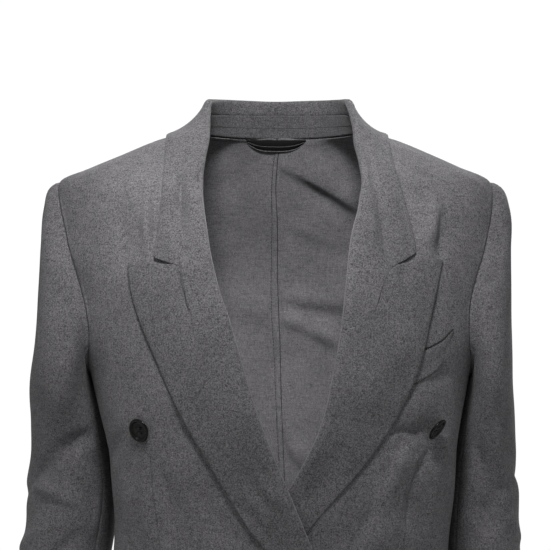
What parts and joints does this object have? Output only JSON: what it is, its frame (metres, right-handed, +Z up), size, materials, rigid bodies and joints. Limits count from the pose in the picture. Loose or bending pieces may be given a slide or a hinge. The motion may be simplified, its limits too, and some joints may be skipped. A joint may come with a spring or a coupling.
{
  "type": "double-breasted blazer",
  "caption": "Double-breasted wool flannel blazer with peak lapels and a curved breast welt, filled out as if worn, open at neck, hem and cuffs.",
  "frame": {"origin": "midway between the two points where the shoulder seams meet the collar, where a neck and shoulders or a hanger hold the jacket", "axes": "+Z up towards the collar, -Y out of the front, +X towards the wearer's left"},
  "size_m": [0.5468, 0.2692, 0.7974],
  "materials": {
    "flannel": "mid-grey melange wool flannel with a soft matt nap",
    "lapel_flannel": "the same wool, a little lighter and coarser in grain",
    "braid": "black woven tape with a slight sheen",
    "horn": "dark brown horn, satin polish"
  },
  "bodies": {
    "root": {"front_right": "flannel", "front_left": "flannel", "back_right": "flannel", "back_left": "flannel", "sleeve_upper_right": "flannel", "sleeve_under_right": "flannel", "sleeve_upper_left": "flannel", "sleeve_under_left": "flannel", "lapel_right": "lapel_flannel", "lapel_left": "lapel_flannel", "collar_fall": "lapel_flannel", "collar_stand": "lapel_flannel", "chest_welt": "flannel", "hanger_loop": "braid", "button_right_show": "horn", "button_left_show": "horn", "button_right_lower": "horn", "button_left_closing": "horn"}
  },
  "joints": []
}
